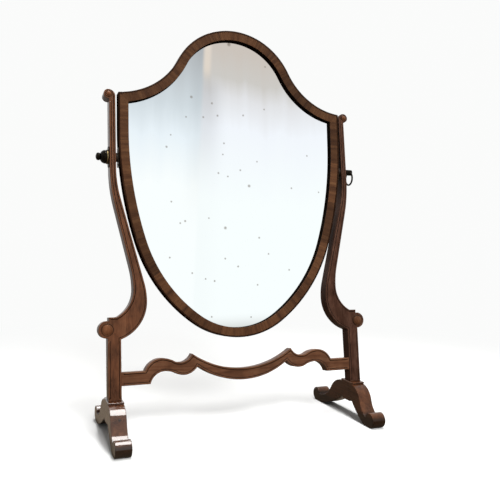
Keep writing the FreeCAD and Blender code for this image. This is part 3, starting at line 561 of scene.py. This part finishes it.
def scratch_bead(name, node, kept, bead_wood, quirk):
    """Runs the bead round a node's front face wherever kept says so."""
    loop, front = flat_outline(node, PLUMB_STAND)
    loop = refined(loop, 3 * MM)
    arrows = inward(loop)
    flags = [kept(point) for point in loop]
    start = flags.index(False)
    order = [(start + i) % len(loop) for i in range(len(loop) + 1)]
    bm = bmesh.new()
    run = []
    for i in order:
        if flags[i]:
            spots = [loop[i] + arrows[i] * (into * MM) for into, _ in BEAD]
            run.append([RAKED_STAND @ Vector((p.x, front - h * MM, p.y)) for p, (_, h) in zip(spots, BEAD)])
        else:
            if len(run) > 1:
                swept(bm, run, QUIRK_SIDES)
            run = []
    bmesh.ops.recalc_face_normals(bm, faces=bm.faces)
    mesh_piece(name, bm, "stand", "stand_mahogany", bead_wood, quirk)


def clear_of_discs(side):
    """A test that holds away from an upright's roundel, scroll boss and foot."""
    discs = []
    for turned, margin in (("roundel", 5.5 * MM), ("scroll_boss", 2.5 * MM)):
        low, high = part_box(f"{side}_{turned}")
        centre = PLUMB_STAND @ ((low + high) / 2)
        discs.append((Vector((centre.x, centre.z)), (high.x - low.x) / 2 + margin))

    def clear(point):
        away = all((point - centre).length > reach for centre, reach in discs)
        return away and point.y > LAND.z

    return clear


# Crossbanding: its thickness, its gap to the lipping, and how far its sight edge stays behind the lip.

BAND_THICK = 1.0 * MM
BAND_GAP = 0.15 * MM
SIGHT_RETREAT = 0.12 * MM
BAND_STEPS = 160


def long_sides(loop, centre):
    """The outer and inner long sides of a strip, both run from the same end."""
    turns = [turned_by(a, b, c) for a, b, c in zip(loop[-1:] + loop[:-1], loop, loop[1:] + loop[:1])]
    ends = sorted(sorted(range(len(loop)), key=lambda i: -turns[i])[:4])
    ring = loop[ends[0]:] + loop[:ends[0] + 1]
    cuts = [i - ends[0] for i in ends] + [len(loop)]
    sides = [ring[a:b + 1] for a, b in zip(cuts, cuts[1:])]
    first, second = sorted(sides, key=lambda side: -lengthways(side)[-1])[:2]
    second = second[::-1]
    middles = [(station(side, 0.5) - centre).length for side in (first, second)]
    return (first, second) if middles[0] > middles[1] else (second, first)


def band(name, node, material):
    """A strip of crossbanding over its CAD piece, eased along the sight edge."""
    loop, front = flat_outline(node, UPRIGHT_SHIELD)
    outer, inner = long_sides(loop, Vector((0, 0)))
    length = lengthways(outer)[-1]
    width = (station(outer, 0.5) - station(inner, 0.5)).length
    outside = BAND_GAP / width
    sight = 1 - SIGHT_RETREAT / width
    section = (
        (outside, BAND_THICK), (outside, 0), (0.5, 0), (0.95, 0),
        (0.98, 0.12 * MM), (sight, 0.5 * MM), (sight, BAND_THICK),
    )
    rings = []
    ends = []
    for step in range(BAND_STEPS + 1):
        start = station(outer, step / BAND_STEPS)
        end = station(inner, step / BAND_STEPS)
        ends.append((step / BAND_STEPS * length, nearest_along(outer, end)))
        spots = [(start.lerp(end, share), depth) for share, depth in section]
        rings.append([LEANING_SHIELD @ Vector((p.x, front + depth, p.y)) for p, depth in spots])
    bm = bmesh.new()
    swept(bm, rings)
    layer = bm.loops.layers.uv.new("band")
    bm.verts.index_update()
    places = len(section)
    for face in bm.faces:
        for corner in face.loops:
            step, across = divmod(corner.vert.index, places)
            share = section[across][0]
            at_outer, at_inner = ends[step]
            corner[layer].uv = (at_outer + (at_inner - at_outer) * share, share * width)
    bmesh.ops.recalc_face_normals(bm, faces=bm.faces)
    for edge in bm.edges:
        edge.smooth = edge.calc_face_angle(0) < math.radians(25)
    piece = mesh_piece(name, bm, "mirror", "crossbanding", material)
    piece.modifiers.new("normals", "WEIGHTED_NORMAL").keep_sharp = True
    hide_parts(node)


# Stage, light and camera

# The camera sees the floor and backdrop as PALE. The floor lights the part as BOUNCE, brown like the table
# in the photo. Reflections see REFLECTED_FLOOR close by, DIM further out, and white above a dim skirting.
PALE = (0.96, 0.965, 0.96)
BOUNCE = (0.15, 0.11, 0.08)
DIM = (0.48, 0.46, 0.44)
REFLECTED_FLOOR = (0.25, 0.20, 0.15)
FLOOR_RADIUS = 6.0
FLOOR_FADE = (0.35, 1.0)
SKIRTING_SLOPES = (0.02, 0.07)
SOFT_STRENGTH = 0.2


def seen_directly(sh):
    """1 where a ray comes from the camera, a reflection or clear glass."""
    path = sh.add("ShaderNodeLightPath")
    seen = sh.math("MAXIMUM", path.outputs["Is Camera Ray"], path.outputs["Is Glossy Ray"])
    return sh.math("MAXIMUM", seen, path.outputs["Is Transmission Ray"])


def pale_floor():
    """A round floor that keeps the shadow near the part and fades into the backdrop."""
    sh = Shader("floor")
    path = sh.add("ShaderNodeLightPath")
    seen = path.outputs["Is Camera Ray"]
    mirrored = path.outputs["Is Glossy Ray"]
    unseen = sh.mix(mirrored, BOUNCE, REFLECTED_FLOOR)
    sh.finish(sh.mix(seen, unseen, PALE), 0.9, Specular_IOR_Level=0.0)
    glow = sh.add("ShaderNodeEmission")
    sh.put(glow.inputs["Color"], sh.mix(mirrored, PALE, DIM))
    far = sh.span(sh.distance(sh.place(), (0, 0, 0)), *FLOOR_FADE)
    blend = sh.add("ShaderNodeMixShader")
    sh.put(blend.inputs[0], sh.times(far, sh.math("MAXIMUM", seen, mirrored)))
    sh.put(blend.inputs[1], sh.surface.outputs["BSDF"])
    sh.put(blend.inputs[2], glow.outputs["Emission"])
    sh.put(sh.output.inputs["Surface"], blend.outputs["Shader"])
    bm = bmesh.new()
    bmesh.ops.create_circle(bm, cap_ends=True, segments=128, radius=FLOOR_RADIUS)
    mesh = bpy.data.meshes.new("floor")
    bm.to_mesh(mesh)
    bm.free()
    mesh.materials.append(sh.material)
    floor = bpy.data.objects.new("floor", mesh)
    scene.collection.objects.link(floor)


def studio_world():
    """White walls, reflected in the glass, above a dim skirting."""
    world = bpy.data.worlds.new("studio")
    world.use_nodes = True
    sh = Nodes(world.node_tree)
    soft = sh.add("ShaderNodeBackground")
    soft.inputs["Color"].default_value = (1.0, 0.98, 0.95, 1)
    soft.inputs["Strength"].default_value = SOFT_STRENGTH
    seen = sh.add("ShaderNodeBackground")
    wall = sh.span(sh.part(sh.place("Generated"), "Z"), *SKIRTING_SLOPES)
    reflected = sh.mix(wall, DIM, (1.0, 1.0, 1.0))
    mirrored = sh.add("ShaderNodeLightPath").outputs["Is Glossy Ray"]
    sh.put(seen.inputs["Color"], sh.mix(mirrored, PALE, reflected))
    blend = sh.add("ShaderNodeMixShader")
    sh.put(blend.inputs[0], seen_directly(sh))
    sh.put(blend.inputs[1], soft.outputs["Background"])
    sh.put(blend.inputs[2], seen.outputs["Background"])
    output = sh.add("ShaderNodeOutputWorld")
    sh.put(output.inputs["Surface"], blend.outputs["Shader"])
    scene.world = world


def lamp(name, at, towards, width, length, watts, mirrored):
    data = bpy.data.lights.new(name, "AREA")
    data.shape = "RECTANGLE"
    data.size = width
    data.size_y = length
    data.energy = watts
    lit = bpy.data.objects.new(name, data)
    lit.location = at
    lit.rotation_euler = (Vector(towards) - Vector(at)).to_track_quat("-Z", "Y").to_euler()
    lit.visible_glossy = mirrored
    scene.collection.objects.link(lit)


def photo_camera():
    """Stands where the photograph was taken: left of the middle and a little below the pivots."""
    image_px = 500
    focal_px = 603.1
    yaw = math.radians(22.02)
    looking_up = math.radians(-1.31)
    roll = math.radians(1.108)
    data = bpy.data.cameras.new("camera")
    data.sensor_width = 36
    data.lens = focal_px * data.sensor_width / image_px
    data.clip_start = 0.01
    camera = bpy.data.objects.new("camera", data)
    turn = Matrix.Rotation(-yaw, 4, "Z") @ Matrix.Rotation(math.pi / 2 + looking_up, 4, "X")
    place = Matrix.Translation((-0.30067, -0.77543, 0.26031))
    camera.matrix_world = place @ turn @ Matrix.Rotation(roll, 4, "Z")
    scene.collection.objects.link(camera)
    scene.camera = camera


# Dressing the frame

# Lit and shaded copies of the mahogany: the left upright painted lighter as painted light, the right darker
# as painted shade.
lit_and_shaded_upright_woods = {
    "left": wood("left_upright_lit_mahogany", "Z", tinted(MAHOGANY, 1.15, 1.15, 1.1), 0.3, gloss=0.3),
    "right": wood(
        "right_upright_shaded_mahogany", "Z", tinted(MAHOGANY, 0.78, 0.97, 1.3), 0.4, (0.5, 0.2, 0.6), gloss=0.04,
    ),
}
rail_wood = wood("stretcher_mahogany", "X", tinted(MAHOGANY, 1.3, 1.5, 1.6), 0.36, (0.3, 0.1, 0))
# The height below which the feet are painted darker towards the floor: painted shade.
BOTTOM_SHADE = 19 * MM
KNEE_PLUG = (Vector((-0.1722, -0.0494, 0.0355)), 3.0 * MM)
foot_wood = wood("foot_mahogany", "Y", FOOT_TONES, 0.30, (0.7, 0.2, 0.4), gloss=0.2, varnish=0.3, bottom_shade=BOTTOM_SHADE)
left_foot_wood = wood(
    "left_foot_mahogany", "Y", FOOT_TONES, 0.26, (1.7, 0.6, 0.4),
    gloss=0.15, marks=[KNEE_PLUG], varnish=1.0, bottom_shade=BOTTOM_SHADE,
)
lipping_wood = wood("lipping_mahogany", "Z", LIPPING, 0.4, (0.2, 0.5, 0.9), gloss=0.0)
crest_lipping_wood = wood("crest_lipping_mahogany", "X", LIPPING, 0.3, (0.8, 0.5, 0.1), gloss=0.2)
core_wood = wood("core_wood", "Z", EBONISED, 0.6, (0.4, 0.4, 0.2), gloss=0.0)
pine = wood("backboard_pine", "Z", PINE, 0.62, (0.9, 0.3, 0.3), gloss=0.2)
quirk = painted_quirk_shade("quirk")
brass = dark_brass("dark_brass", 0.55, 1.0)
black_brass = dark_brass("black_brass", 0.0, 0.0)
KNOB_RIM = 1.9 * MM
knob_brass = dark_brass("knob_brass", 0.3, 1.0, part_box("left_knob")[1].x - KNOB_RIM)

dress(rail_wood, "stretcher")
dress(left_foot_wood, "left_foot")
dress(foot_wood, "right_foot")
dress(lipping_wood, "left_lipping", "right_lipping")
dress(crest_lipping_wood, "crest_lipping")
dress(core_wood, "crest_rail", "left_stile", "right_stile", "base_rail", "glass_blocks")
dress(silvered_glass(), "mirror_glass")
dress(pine, "backboard")
dress(screw_steel(), "backboard_screws", "pivot_plate_screws")
dress(washer_leather(), "left_washer", "right_washer")
dress(brass, "left_pivot_plate", "right_pivot_plate", "left_escutcheon", "right_escutcheon")
dress(black_brass, "left_pivot_screw", "right_pivot_screw", "right_ring")
dress(knob_brass, "left_knob")

# The right roundel and scroll boss are a shaded copy, painted darker than the left: painted shade.
for side, lightness in (("left", 1.0), ("right", 0.6)):
    dress(lit_and_shaded_upright_woods[side], f"{side}_upright")
    tones = tinted(TURNED, lightness, lightness, lightness)
    for turned in ("roundel", "scroll_boss"):
        low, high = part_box(f"{side}_{turned}")
        middle = (low + high) / 2
        middle.y = low.y
        reach = (high.x - low.x) / 2
        name = f"{side}_{turned}"
        dress(wood(f"{name}_mahogany", "Z", tones, 0.4, middle * 9, gloss=0.2, glow=(middle, reach)), name)

soften(0.45 * MM, "left_upright", "right_upright", "stretcher")
soften(0.8 * MM, "left_foot", "right_foot")
soften(0.4 * MM, "left_lipping", "right_lipping", "crest_lipping")

for side, shift, lightness in (("crest", 3.3, 0.8), ("left", 9.0, 1.0), ("right", 14.7, 1.1)):
    veneer = crossbanding(f"{side}_crossbanding", shift, lightness)
    band(f"{side}_band", f"{side}_crossbanding", veneer)

for side in ("left", "right"):
    scratch_bead(f"{side}_upright_bead", f"{side}_upright", clear_of_discs(side), lit_and_shaded_upright_woods[side], quirk)

# The stretcher's bead stops just short of the posts.
BEAD_END = 164.5 * MM
scratch_bead("stretcher_bead", "stretcher", lambda point: abs(point.x) < BEAD_END, rail_wood, quirk)


# Setting the stage

pale_floor()
studio_world()
lamp("overhead", (0.15, 0.25, 1.9), (0.15, 0.25, 0), width=0.3, length=2.2, watts=36, mirrored=True)
lamp("front", (0.0, -1.8, 1.4), (0, 0, 0.25), width=0.7, length=0.7, watts=40, mirrored=False)
photo_camera()
scene.view_settings.view_transform = "Standard"
